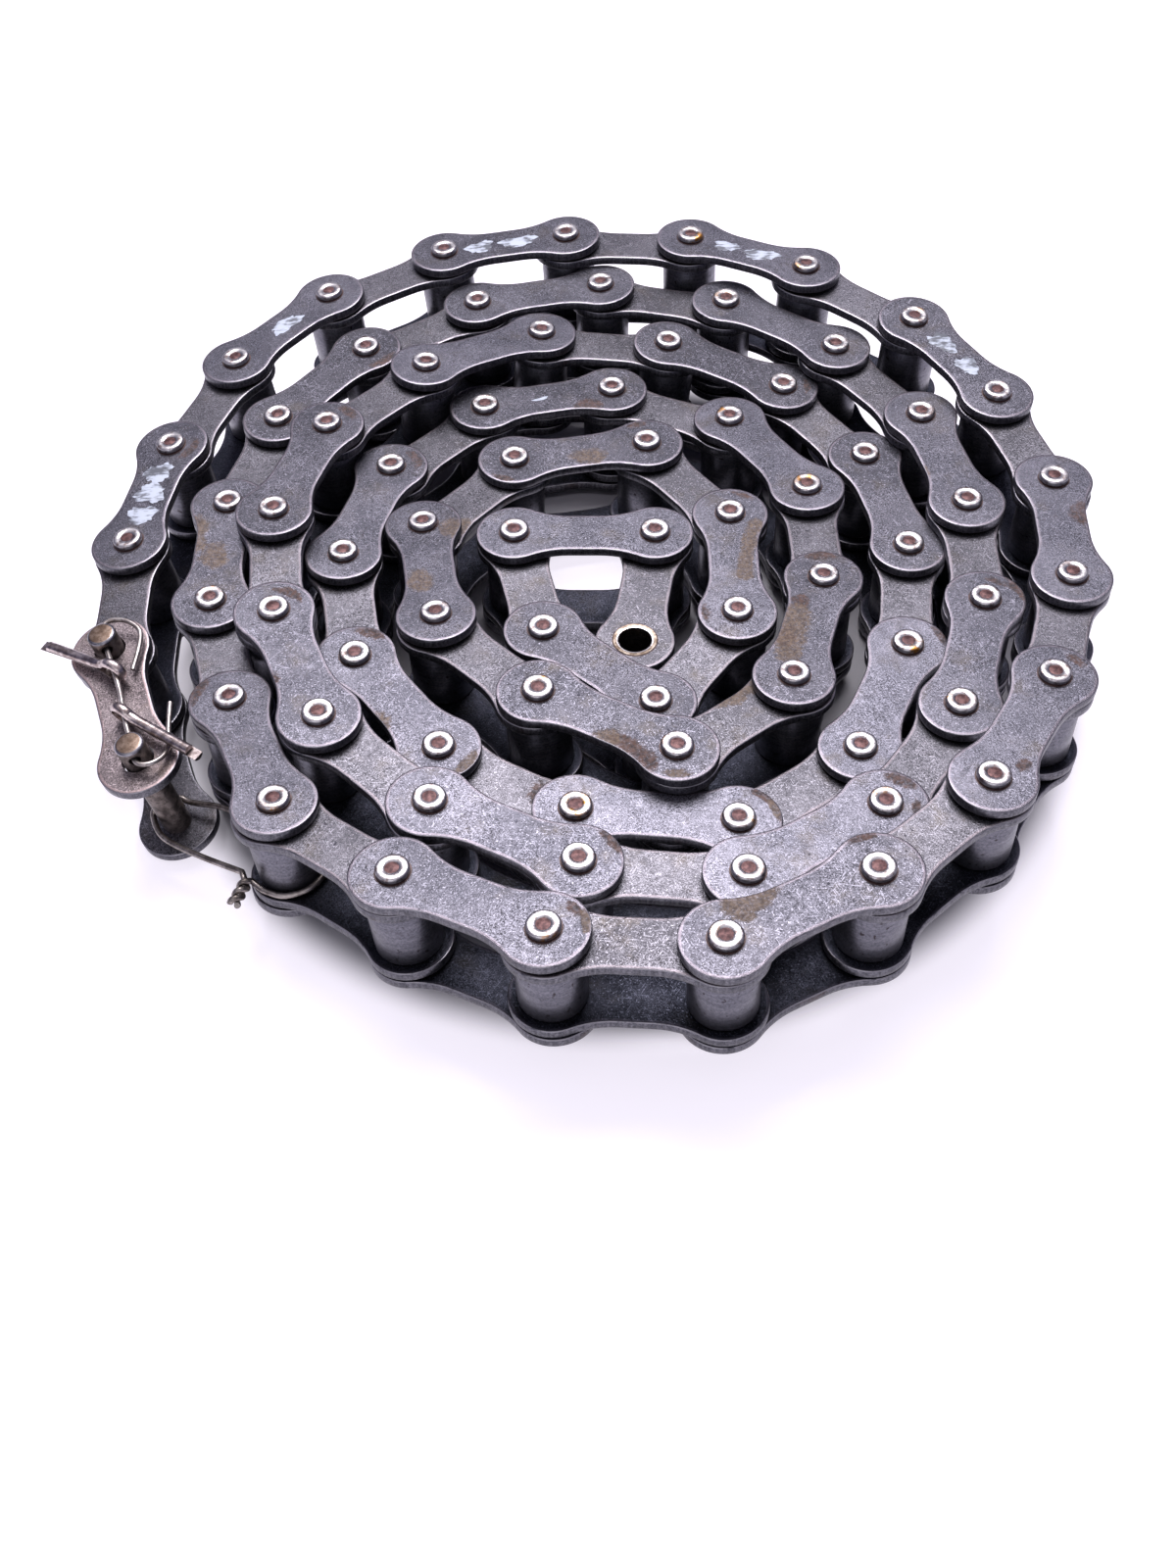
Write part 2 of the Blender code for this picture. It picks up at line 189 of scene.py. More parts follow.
def chain_axes():
    """The middle of every pin in millimetres, the outer end first."""
    bends = [bend for row in BENDS for bend in row]
    heading = START_HEADING
    axes = [START + Vector((0, 0, pin_height(0)))]
    for link in range(LINKS):
        if link:
            heading -= bends[link - 1]
        rise = pin_height(link + 1) - pin_height(link)
        run = math.sqrt(PITCH ** 2 - rise ** 2)
        angle = math.radians(heading)
        axes.append(axes[-1] + Vector((run * math.cos(angle), run * math.sin(angle), rise)))
    return axes


def link_frame(axes, link):
    """Where a link lies: its first pin's middle, x along it and z up through its pins."""
    start, end = axes[link], axes[link + 1]
    along = (end - start).normalized()
    up = (Vector((0, 0, 1)) - along * along.z).normalized()
    lean = math.radians(LEAN) * max(0.0, 1 - link / LEANING_LINKS)
    up.rotate(Matrix.Rotation(-lean, 3, along))
    turned = Matrix((along, up.cross(along), up)).transposed().to_4x4()
    return Matrix.Translation(start) @ turned


def join(pieces):
    """One list of corners, faces and slots from several."""
    corners, faces, slots = [], [], []
    for piece_corners, piece_faces, piece_slots in pieces:
        shift = len(corners)
        corners += piece_corners
        faces += [tuple(i + shift for i in face) for face in piece_faces]
        slots += piece_slots
    return corners, faces, slots


def lathe(profile, x=0.0, sides=32):
    """A turned solid about the upright line at x, from (radius, height, slot of the band above) rows."""
    corners, faces, slots, rings = [], [], [], []
    for radius, height, slot in profile:
        if radius == 0:
            corners.append((x, 0.0, height))
            rings.append([len(corners) - 1] * sides)
            continue
        ring = []
        for i in range(sides):
            angle = 2 * math.pi * i / sides
            corners.append((x + radius * math.cos(angle), radius * math.sin(angle), height))
            ring.append(len(corners) - 1)
        rings.append(ring)
    for (low, high), row in zip(zip(rings, rings[1:]), profile):
        for i in range(sides):
            j = (i + 1) % sides
            face = []
            for corner in (low[i], low[j], high[j], high[i]):
                if corner not in face:
                    face.append(corner)
            faces.append(tuple(face))
            slots.append(row[2])
    return corners, faces, slots


def rod(radius, low, high, slot, x=0.0, sides=32):
    """A plain round solid about the upright line at x."""
    return lathe(((0.0, low, slot), (radius, low, slot), (radius, high, slot), (0.0, high, slot)), x, sides)


def plate_outline():
    """The corners of a plate's waisted outline, each with the direction outward from it."""
    centre = math.sqrt((PLATE_END - PLATE_WAIST) * (PLATE_END + PLATE_WAIST + 2 * WAIST_ARC))
    tangent = math.atan2(PLATE_WAIST + WAIST_ARC, centre)
    half = []
    steps = 26
    for i in range(steps + 1):
        angle = math.pi - (math.pi - tangent) * i / steps
        nx, ny = math.cos(angle), math.sin(angle)
        half.append((PLATE_END * nx, PLATE_END * ny, nx, ny))
    for i in range(1, 7):
        angle = tangent + (math.pi / 2 - tangent) * i / 6
        x = centre - WAIST_ARC * math.cos(angle)
        y = PLATE_WAIST + WAIST_ARC - WAIST_ARC * math.sin(angle)
        half.append((x, y, math.cos(angle), math.sin(angle)))
    upper = half + [(PITCH - x, y, -nx, ny) for x, y, nx, ny in half[::-1]]
    lower = [(x, -y, nx, -ny) for x, y, nx, ny in upper[::-1]][1:-1]
    return upper + lower


def plate(low, high):
    """A stamped plate between two heights, its rim rolled over, its faces cut into bands for their stains."""
    outline = plate_outline()
    count = len(outline)
    rows = (
        (0.8, high, PLATE), (0.28, high - 0.04, PLATE), (0.09, high - 0.12, EDGE), (0.0, high - 0.23, EDGE),
        (0.0, low + 0.3, SIDE), (0.1, low + 0.1, EDGE), (0.3, low, EDGE),
    )
    corners, faces, slots = [], [], []
    for inset, height, _ in rows:
        corners += [(x - nx * inset, y - ny * inset, height) for x, y, nx, ny in outline]
    for row in range(1, len(rows)):
        for i in range(count):
            j = (i + 1) % count
            base, under = (row - 1) * count, row * count
            faces.append((base + i, base + j, under + j, under + i))
            slots.append(rows[row][2])
    for start, height, up in ((0, high, True), ((len(rows) - 1) * count, low, False)):
        shares = (0.93, 0.75, 0.5, 0.27, 0.0) if up else (0.93, 0.5, 0.0)
        ring = list(range(start, start + count))
        known = {}
        for share in shares:
            inner = []
            for i, (x, _, _, _) in enumerate(outline):
                middle = min(max(x, 0.0), PITCH)
                px, py, _ = corners[start + i]
                point = (round(middle + (px - middle) * share, 4), round(py * share, 4), height)
                if point not in known:
                    known[point] = len(corners)
                    corners.append(point)
                inner.append(known[point])
            for i in range(count):
                j = (i + 1) % count
                face = []
                for corner in (ring[i], inner[i], inner[j], ring[j]):
                    if corner not in face:
                        face.append(corner)
                if len(face) > 2:
                    faces.append(tuple(face if up else face[::-1]))
                    slots.append(PLATE)
            ring = inner
    return corners, faces, slots


def roller(x):
    """A roller with its corners turned off."""
    top = INNER_FACE - ROLLER_GAP
    upper = [(ROLLER_RADIUS, top - 0.45), (ROLLER_FLAT + 0.32, top - 0.1), (ROLLER_FLAT, top), (0.0, top)]
    lower = [(radius, -height) for radius, height in upper[::-1]]
    return lathe([(radius, height, ROLLER) for radius, height in lower + upper], x, 48)


def head(x, base, proud, down=False):
    """A riveted head: a silver ring with a brown centre, dark where it meets the plate with brown stain and
    painted contact shade.
    """
    # The first rows, dark, are brown stain and painted contact shade where the head meets the plate
    rows = [
        (HEAD_RADIUS + 0.4, -0.1, RIM_STAIN_AND_SHADE), (HEAD_RADIUS + 0.34, 0.03, RIM_STAIN_AND_SHADE), (HEAD_RADIUS - 0.15, 0.05, RIM_STAIN_AND_SHADE),
        (HEAD_RADIUS - 0.05, 0.3, RIM_STAIN_AND_SHADE), (HEAD_RADIUS, 0.55, RING), (HEAD_RADIUS, proud - 0.7, RING),
        (HEAD_RADIUS - 0.12, proud - 0.36, RING), (HEAD_RADIUS - 0.36, proud - 0.14, RING),
        (HEAD_RADIUS - 0.75, proud - 0.03, RING), (3.0, proud, RING), (2.1, proud - 0.1, RING),
        (1.8, proud - 0.36, CENTRE), (1.6, proud - 0.34, CENTRE), (0.9, proud - 0.2, CENTRE),
        (0.0, proud - 0.15, CENTRE),
    ]
    corners, faces, slots = lathe(rows, x, 36)
    if down:
        corners = [(cx, -cy, -base - cz) for cx, cy, cz in corners]
    else:
        corners = [(cx, cy, base + cz) for cx, cy, cz in corners]
    return corners, faces, slots


def both_plates(face):
    """The upper plate of a link, and the lower one with its flat faces oiled and, as painted shade, darker
    and bluer.
    """
    corners, faces, slots = plate(-face - PLATE_THICK, -face)
    lower = corners, faces, [OILED_AND_SHADED if slot == PLATE else slot for slot in slots]
    return [plate(face, face + PLATE_THICK), lower]


def bushing_end(x):
    top = INNER_FACE + PLATE_THICK
    return rod(BUSHING_RADIUS, top - 0.3, top + BUSHING_PROUD, BUSHING, x)


def roller_link():
    pieces = both_plates(INNER_FACE)
    for x in (0.0, PITCH):
        pieces += [roller(x), bushing_end(x)]
    return join(pieces)


def open_bushing():
    """The bushing that no pin fills, with its roller: a bright mouth at each end and a bore right through."""
    top = INNER_FACE + PLATE_THICK
    # The outer band, dark, is brown stain and painted contact shade where the bushing meets the plate
    mouth = [
        (BUSHING_RADIUS + 0.25, top - 0.1, RIM_STAIN_AND_SHADE), (BUSHING_RADIUS + 0.2, top + 0.03, RIM_STAIN_AND_SHADE),
        (BUSHING_RADIUS, top + 0.04, BUSHING), (BUSHING_RADIUS - 0.15, top + 0.2, BUSHING),
        (BUSHING_BORE + 0.5, top + 0.2, RING), (BUSHING_BORE + 0.1, top + 0.1, RING),
        (BUSHING_BORE, top - 0.25, PIN),
    ]
    under_slots = (RING, RING, BUSHING, BUSHING, RIM_STAIN_AND_SHADE, RIM_STAIN_AND_SHADE, RIM_STAIN_AND_SHADE)
    under = [(radius, -height, slot) for (radius, height, _), slot in zip(mouth[::-1], under_slots)]
    upper = [(ROLLER_RADIUS, INNER_FACE - 0.6), (ROLLER_FLAT, INNER_FACE - ROLLER_GAP)]
    upper.append((BUSHING_RADIUS - 1, top - 1))
    lower = [(radius, -height) for radius, height in upper[::-1]]
    rolled = [(radius, height, ROLLER) for radius, height in lower + upper]
    return join([lathe(mouth + under, PITCH, 48), lathe(rolled, PITCH, 48)])


def pin_link():
    pieces = both_plates(OUTER_FACE)
    top = OUTER_FACE + PLATE_THICK
    for x in (0.0, PITCH):
        pieces.append(rod(PIN_RADIUS, -OUTER_FACE - 0.5, OUTER_FACE + 0.5, PIN, x))
        pieces.append(head(x, top, HEAD_PROUD))
        pieces.append(head(x, top, HEAD_PROUD, down=True))
    return join(pieces)


def new_mesh(name, shape, sharp=SHARP):
    corners, faces, slots = shape
    mesh = bpy.data.meshes.new(name)
    mesh.from_pydata([Vector(corner) * MM for corner in corners], [], faces)
    mesh.polygons.foreach_set("material_index", slots)
    work = bmesh.new()
    work.from_mesh(mesh)
    bmesh.ops.recalc_face_normals(work, faces=work.faces)
    work.to_mesh(mesh)
    work.free()
    mesh.shade_smooth()
    mesh.set_sharp_from_angle(angle=math.radians(sharp))
    return mesh


def show(name, mesh, place, nodes=()):
    """Puts a piece in the scene, riding on the coil in place of its CAD nodes."""
    mesh.transform(place)
    piece = bpy.data.objects.new(name, mesh)
    bpy.context.scene.collection.objects.link(piece)
    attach(piece, "root")
    if nodes:
        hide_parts(*nodes)


def dress(mesh, materials):
    """Gives a mesh its materials, in the order of its slots."""
    for material in materials:
        mesh.materials.append(material)


def wear(mesh):
    """Marks the corners near the rim of a plate, less and less between two distances in millimetres."""
    in_full, not_at_all = 0.5, 1.7
    outline = [(x, y) for x, y, _, _ in plate_outline()]
    nearness = []
    for vertex in mesh.vertices:
        x, y, _ = vertex.co / MM
        gap = min(math.hypot(x - rim_x, y - rim_y) for rim_x, rim_y in outline)
        nearness.append(min(max((not_at_all - gap) / (not_at_all - in_full), 0.0), 1.0))
    mesh.attributes.new("rim", "FLOAT", "POINT").data.foreach_set("value", nearness)


def gap_to_stain(x, y, along, across):
    """How far a corner is from a stain; one by a plate's round end is drawn out along the rim."""
    if abs(along - PITCH / 2) < 0.42 * PITCH:
        return math.hypot(0.8 * (x - along), y - across)
    pin = PITCH if along > PITCH / 2 else 0.0
    out = math.hypot(along - pin, across)
    turn = math.atan2(y, x - pin) - math.atan2(across, along - pin)
    turn = (turn + math.pi) % (2 * math.pi) - math.pi
    return math.hypot(2.2 * (math.hypot(x - pin, y) - out), 0.7 * out * turn)


def stain(mesh, link):
    """Marks how near each corner of a link is to its stains, and how much lighter or darker the link is made.
    """
    tint = [TINTS.get(link, 0.0)] * len(mesh.vertices)
    mesh.attributes.new("tint", "FLOAT", "POINT").data.foreach_set("value", tint)
    for kind in ("rust", "tan"):
        marks = [row[1:4] for row in STAINS if row[0] == link and row[4] == kind]
        nearness = []
        for vertex in mesh.vertices:
            x, y, z = vertex.co / MM
            near = 0.0
            for along, across, reach in marks:
                if z > INNER_FACE:
                    near = max(near, 1.2 - 0.7 * gap_to_stain(x, y, along, across) / reach)
            nearness.append(min(near, 1.0))
        mesh.attributes.new(kind, "FLOAT", "POINT").data.foreach_set("value", nearness)


def in_metres(place):
    place = place.copy()
    place.translation *= MM
    return place


def curve_points(route, per_span):
    """The points of a smooth curve through the route, so many for each of its spans."""
    axes = [[point[axis] for point in route] for axis in range(3)]
    count = (len(route) - 1) * per_span
    return [Vector([smooth(values, i / per_span) for values in axes]) for i in range(count + 1)]


def skin(rings):
    """The faces of a closed tube through rings of corners."""
    faces = []
    count = len(rings[0])
    for ring, following in zip(rings, rings[1:]):
        for i in range(count):
            j = (i + 1) % count
            faces.append((ring[i], ring[j], following[j], following[i]))
    return faces + [tuple(rings[0]), tuple(rings[-1])]


def tube(points, radius, sides=12):
    """A round wire along the points, closed at both ends."""
    corners, rings = [], []
    side = Vector((0, 0, 1))
    for i, point in enumerate(points):
        along = (points[min(i + 1, len(points) - 1)] - points[max(i - 1, 0)]).normalized()
        side = (side - along * along.dot(side)).normalized()
        across = along.cross(side)
        ring = []
        for k in range(sides):
            angle = 2 * math.pi * k / sides
            ring.append(len(corners))
            corners.append(tuple(point + radius * (side * math.cos(angle) + across * math.sin(angle))))
        rings.append(ring)
    faces = skin(rings)
    return corners, faces, [0] * len(faces)


def cut_away(mesh, cutters):
    """The mesh less some turned cutters."""
    solid = bpy.data.objects.new("solid", mesh)
    bpy.context.scene.collection.objects.link(solid)
    tools = []
    for shape, place in cutters:
        tool = bpy.data.objects.new("tool", new_mesh("tool", shape))
        tool.matrix_world = place
        bpy.context.scene.collection.objects.link(tool)
        cut = solid.modifiers.new("cut", "BOOLEAN")
        cut.operation = "DIFFERENCE"
        cut.object = tool
        tools.append(tool)
    bpy.context.view_layer.update()
    result = bpy.data.meshes.new_from_object(solid.evaluated_get(bpy.context.evaluated_depsgraph_get()))
    for obj in (solid, *tools):
        bpy.data.objects.remove(obj)
    result.set_sharp_from_angle(angle=math.radians(SHARP))
    return result


def merged(first, second):
    """The first mesh with the second's faces added to it."""
    work = bmesh.new()
    work.from_mesh(first)
    work.from_mesh(second)
    work.to_mesh(first)
    work.free()
    first.set_sharp_from_angle(angle=math.radians(SHARP))
    return first


def split_pin(eye, tip):
    """A half-round wire bent into a long eye and two legs that lie flat on one another."""
    along = (tip - eye).normalized()
    up = (Vector((0, 0, 1)) - along * along.z).normalized()
    place = Matrix((along, up, along.cross(up))).transposed().to_4x4()
    length = (tip - eye).length
    eye_end, short_by = 5.2, 3.0
    path = [(length - short_by, 0.12), (length / 2 + 0.5, 0.1), (eye_end, 0.15)]
    for step in range(21):
        angle = math.radians(25 + 310 * step / 20)
        path.append((3.0 * math.cos(angle), 2.2 * math.sin(angle)))
    path += [(eye_end, -0.15), (length / 2 + 1.5, -0.1), (length, -0.5)]
    corners, rings = [], []
    for i, (u, v) in enumerate(path):
        before, after = path[max(i - 1, 0)], path[min(i + 1, len(path) - 1)]
        du, dv = after[0] - before[0], after[1] - before[1]
        size = math.hypot(du, dv)
        left = (-dv / size, du / size)
        ring = []
        for k in range(9):
            angle = math.pi * k / 8
            out, wide = -SPLIT_PIN_DEPTH * math.sin(angle), SPLIT_PIN_RADIUS * math.cos(angle)
            ring.append(len(corners))
            corners.append((u + left[0] * out, v + left[1] * out, wide))
        rings.append(ring)
    faces = skin(rings)
    return (corners, faces, [0] * len(faces)), Matrix.Translation(eye) @ place


def strand(root, tip, start_angle):
    """One of the tie wire's two ends, wound about the line from root to tip."""
    along = (tip - root).normalized()
    side = Vector((0, 0, 1)).cross(along).normalized()
    up = along.cross(side)
    points = []
    for step in range(31):
        part = step / 30
        angle = start_angle + 2 * math.pi * TWIST_TURNS * part
        points.append(root.lerp(tip, part) + TWIST_RADIUS * (side * math.cos(angle) + up * math.sin(angle)))
    return points


class Nodes:
    """A short way to write a material's nodes."""

    def __init__(self, name):
        self.material = bpy.data.materials.new(name)
        self.material.use_nodes = True
        self.tree = self.material.node_tree
        self.shader = self.tree.nodes["Principled BSDF"]
        self.place = self.add("ShaderNodeNewGeometry").outputs["Position"]

    def add(self, kind, **values):
        node = self.tree.nodes.new(kind)
        for key, value in values.items():
            setattr(node, key, value)
        return node

    def wire(self, source, target):
        if isinstance(source, (int, float)):
            target.default_value = source
        elif isinstance(source, tuple):
            target.default_value = (*source, 1.0)
        else:
            self.tree.links.new(source, target)

    def stretched(self, scale, place=None):
        node = self.add("ShaderNodeVectorMath", operation="MULTIPLY")
        self.wire(place or self.place, node.inputs[0])
        node.inputs[1].default_value = scale
        return node.outputs[0]

    def noise(self, scale, detail=3.0, rough=0.5, place=None):
        """Noise whose features are scale to the metre."""
        node = self.add("ShaderNodeTexNoise")
        self.wire(place or self.place, node.inputs["Vector"])
        node.inputs["Scale"].default_value = scale
        node.inputs["Detail"].default_value = detail
        node.inputs["Roughness"].default_value = rough
        return node.outputs["Fac"]

    def ramp(self, value, low, high, start=0.0, end=1.0):
        node = self.add("ShaderNodeMapRange", interpolation_type="SMOOTHSTEP")
        self.wire(value, node.inputs["Value"])
        for name, number in (("From Min", low), ("From Max", high), ("To Min", start), ("To Max", end)):
            node.inputs[name].default_value = number
        return node.outputs["Result"]

    def by_distance(self, centre, near, far, start=0.0, end=1.0):
        """A value that goes from start to end between two distances from a point."""
        node = self.add("ShaderNodeVectorMath", operation="DISTANCE")
        self.wire(self.place, node.inputs[0])
        node.inputs[1].default_value = centre
        return self.ramp(node.outputs["Value"], near, far, start, end)

    def math(self, operation, first, second=0.0):
        node = self.add("ShaderNodeMath", operation=operation)
        self.wire(first, node.inputs[0])
        self.wire(second, node.inputs[1])
        return node.outputs[0]

    def mix(self, factor, first, second):
        node = self.add("ShaderNodeMix", data_type="RGBA")
        self.wire(factor, node.inputs["Factor"])
        self.wire(first, node.inputs[6])
        self.wire(second, node.inputs[7])
        return node.outputs[2]

    def scaled(self, colour, factor):
        node = self.add("ShaderNodeVectorMath", operation="SCALE")
        self.wire(colour, node.inputs[0])
        self.wire(factor, node.inputs["Scale"])
        return node.outputs[0]

    def scratches(self, turn):
        """Hair lines that run in the direction of the turn."""
        node = self.add("ShaderNodeVectorRotate", rotation_type="Z_AXIS")
        self.wire(self.place, node.inputs["Vector"])
        node.inputs["Angle"].default_value = turn
        drawn_out = self.stretched((4200.0, 330.0, 900.0), node.outputs[0])
        return self.ramp(self.noise(1.0, 1.0, 0.5, drawn_out), 0.65, 0.72)

    def mark(self, name):
        return self.add("ShaderNodeAttribute", attribute_name=name).outputs["Fac"]

    def bump(self, height, strength, distance):
        node = self.add("ShaderNodeBump")
        node.inputs["Strength"].default_value = strength
        node.inputs["Distance"].default_value = distance
        self.wire(height, node.inputs["Height"])
        self.wire(node.outputs[0], self.shader.inputs["Normal"])

    def done(self, colour, roughness, metallic):
        self.wire(colour, self.shader.inputs["Base Color"])
        self.wire(roughness, self.shader.inputs["Roughness"])
        self.wire(metallic, self.shader.inputs["Metallic"])
        return self.material


def plate_material(name, dark, light, gloss):
    """Oiled blued steel: cloudy and finely mottled, with hair scratches, stains, rust and dried dirt."""
    n = Nodes(name)
    cloud = n.ramp(n.noise(48.0, 4.0, 0.6), 0.34, 0.68)
    mottle = n.ramp(n.noise(520.0, 3.0, 0.65), 0.3, 0.7)
    grain = n.ramp(n.noise(2300.0, 2.0, 0.7), 0.3, 0.7)
    lively = n.ramp(n.noise(75.0, 3.0), 0.38, 0.62, 0.7, 1.5)
    grit = n.math("MULTIPLY", n.math("SUBTRACT", grain, 0.5), lively)
    shade = n.math("ADD", n.math("MULTIPLY", mottle, 0.2), n.math("ADD", grit, 0.9))
    shade = n.math("MULTIPLY", n.math("MAXIMUM", shade, 0.1), n.math("ADD", n.mark("tint"), 1.0))
    colour = n.scaled(n.mix(cloud, dark, light), shade)
    tarnish = n.ramp(n.noise(85.0, 5.0, 0.65), 0.52, 0.74, 0.0, 0.5)
    colour = n.mix(tarnish, colour, (0.85 * light[0], 0.74 * light[1], 0.52 * light[2]))
    lines = n.math("MAXIMUM", n.scratches(0.6), n.math("MAXIMUM", n.scratches(1.7), n.scratches(2.7)))
    lines = n.math("MULTIPLY", lines, n.ramp(n.noise(140.0, 2.0), 0.4, 0.6, 0.15, 0.8))
    scuffs = n.ramp(n.noise(2100.0, 1.0), 0.62, 0.72, 0.0, 0.9)
    bright = tuple(2.4 * c for c in light)
    colour = n.mix(n.math("MAXIMUM", lines, scuffs), colour, bright)
    worn = n.ramp(n.math("ADD", n.mark("rim"), n.noise(300.0, 5.0, 0.7)), 1.0, 1.4, 0.0, 0.65)
    colour = n.mix(worn, colour, (2.0 * light[0], 1.8 * light[1], 1.75 * light[2]))
    pits = n.ramp(n.noise(620.0, 1.0), 0.22, 0.28, 0.55, 0.0)
    colour = n.mix(pits, colour, (0.008, 0.008, 0.014))
    broad = n.math("MULTIPLY", n.noise(210.0, 3.0, 0.6), 0.55)
    blotch = n.math("ADD", broad, n.math("MULTIPLY", n.noise(950.0, 4.0, 0.7), 0.6))
    thin = n.ramp(n.noise(1300.0, 2.0), 0.35, 0.6, 0.4, 0.85)
    patch = n.math("MULTIPLY", n.ramp(n.math("ADD", n.mark("rust"), blotch), 1.04, 1.26), thin)
    rust = n.mix(n.ramp(n.noise(700.0, 3.0), 0.35, 0.65), (0.018, 0.007, 0.006), (0.085, 0.04, 0.027))
    colour = n.mix(patch, colour, rust)
    crust = n.math("MULTIPLY", n.ramp(n.math("ADD", n.mark("tan"), blotch), 1.04, 1.26), thin)
    dirt = n.mix(n.ramp(n.noise(900.0, 4.0, 0.7), 0.35, 0.65), (0.055, 0.034, 0.024), (0.165, 0.117, 0.084))
    colour = n.mix(crust, colour, dirt)
    dull = n.math("MAXIMUM", patch, crust)
    metallic = n.math("SUBTRACT", 1.0, n.math("MULTIPLY", dull, 0.8))
    rough = n.math("ADD", n.ramp(mottle, 0.0, 1.0, gloss + 0.07, gloss), n.math("MULTIPLY", dull, 0.3))
    height = n.math("SUBTRACT", grain, n.math("MULTIPLY", pits, 2.0))
    height = n.math("ADD", height, n.math("MULTIPLY", crust, 2.0))
    n.bump(height, 0.5, 0.00006)
    return n.done(colour, rough, metallic)


def simple_metal(name, dark, light, roughness, scale=500.0, metallic=1.0, bump=0.15, specular=0.5):
    """Metal with a fine grain between two tones, and darker spots."""
    n = Nodes(name)
    n.shader.inputs["Specular IOR Level"].default_value = specular
    grain = n.noise(scale, 4.0, 0.6)
    colour = n.mix(n.ramp(grain, 0.35, 0.65), dark, light)
    spots = n.ramp(n.noise(scale * 3.2, 2.0, 0.6), 0.3, 0.45, 0.6, 0.0)
    n.bump(grain, bump, 0.0001)
    return n.done(n.mix(spots, colour, tuple(c * 0.4 for c in dark)), roughness, metallic)


def worn_edge():
    """The rolled rim of a plate, rubbed bright in places."""
    n = Nodes("worn_edge")
    bare = n.ramp(n.noise(240.0, 4.0, 0.7), 0.30, 0.5)
    return n.done(n.mix(bare, (0.085, 0.085, 0.10), (0.28, 0.27, 0.295)), 0.34, 1.0)


def sheared_side():
    """The side of a stamped plate: upright streaks, with a little rust."""
    n = Nodes("sheared_side")
    marks = n.noise(1.0, 3.0, 0.6, n.stretched((1300.0, 1300.0, 150.0)))
    tone = n.mix(n.ramp(marks, 0.33, 0.68), (0.080, 0.079, 0.092), (0.140, 0.137, 0.155))
    tone = n.scaled(tone, n.ramp(n.noise(1800.0, 2.0, 0.7), 0.3, 0.7, 0.6, 1.4))
    rusty = n.ramp(n.noise(70.0, 4.0, 0.6), 0.6, 0.74, 0.0, 0.5)
    n.bump(marks, 0.3, 0.0001)
    return n.done(n.mix(rusty, tone, (0.06, 0.035, 0.025)), 0.4, 0.95)


def turned_roller():
    """A roller's skin: fine turning marks round it, with dark pits."""
    n = Nodes("turned_roller")
    streak = n.noise(1.0, 3.0, 0.6, n.stretched((120.0, 120.0, 1200.0)))
    tone = n.mix(n.ramp(streak, 0.2, 0.8), (0.10, 0.099, 0.120), (0.165, 0.162, 0.188))
    tone = n.scaled(tone, n.ramp(n.noise(1500.0, 2.0, 0.7), 0.3, 0.7, 0.75, 1.25))
    pits = n.ramp(n.noise(650.0, 1.0), 0.25, 0.32, 0.8, 0.0)
    n.bump(streak, 0.06, 0.0001)
    return n.done(n.mix(pits, tone, (0.02, 0.012, 0.012)), 0.36, 0.95)


def rivet_ring():
    """The bright ring of a riveted head, brown in patches and orange here and there."""
    n = Nodes("rivet_ring")
    worn = n.ramp(n.noise(560.0, 3.0, 0.65), 0.47, 0.68, 0.0, 0.8)
    tone = n.mix(worn, (0.52, 0.50, 0.51), (0.17, 0.11, 0.095))
    orange = n.ramp(n.noise(80.0, 2.0), 0.6, 0.7)
    orange = n.math("MULTIPLY", orange, n.ramp(n.noise(420.0, 3.0, 0.6), 0.42, 0.6))
    n.bump(n.noise(420.0, 3.0), 0.5, 0.0003)
    return n.done(n.mix(orange, tone, (0.50, 0.24, 0.06)), 0.34, 1.0)


def link_materials():
    """A chain link's materials, in the order of its slots."""
    return [
        plate_material("blued_plate", (0.066, 0.065, 0.079), (0.102, 0.099, 0.118), 0.36),
        worn_edge(),
        sheared_side(),
        turned_roller(),
        simple_metal("bushing_end", (0.11, 0.08, 0.06), (0.30, 0.25, 0.21), 0.36),
        simple_metal("pin_shank", (0.06, 0.05, 0.052), (0.12, 0.105, 0.105), 0.4),
        rivet_ring(),
        simple_metal("rivet_centre", (0.045, 0.02, 0.022), (0.135, 0.068, 0.066), 0.42, 800.0, 0.4, 0.6, 0.2),
        # Brown stain and painted contact shade where a head or bushing meets its plate
        simple_metal("rivet_rim_stain_and_shade", (0.045, 0.025, 0.026), (0.10, 0.06, 0.055), 0.5, 700.0, 0.4),
        # The lower plates: dark with oil, and darker and bluer still as painted shade beneath the upper
        # plates
        plate_material("oiled_plate_painted_shade", (0.012, 0.013, 0.018), (0.027, 0.028, 0.038), 0.42),
    ]


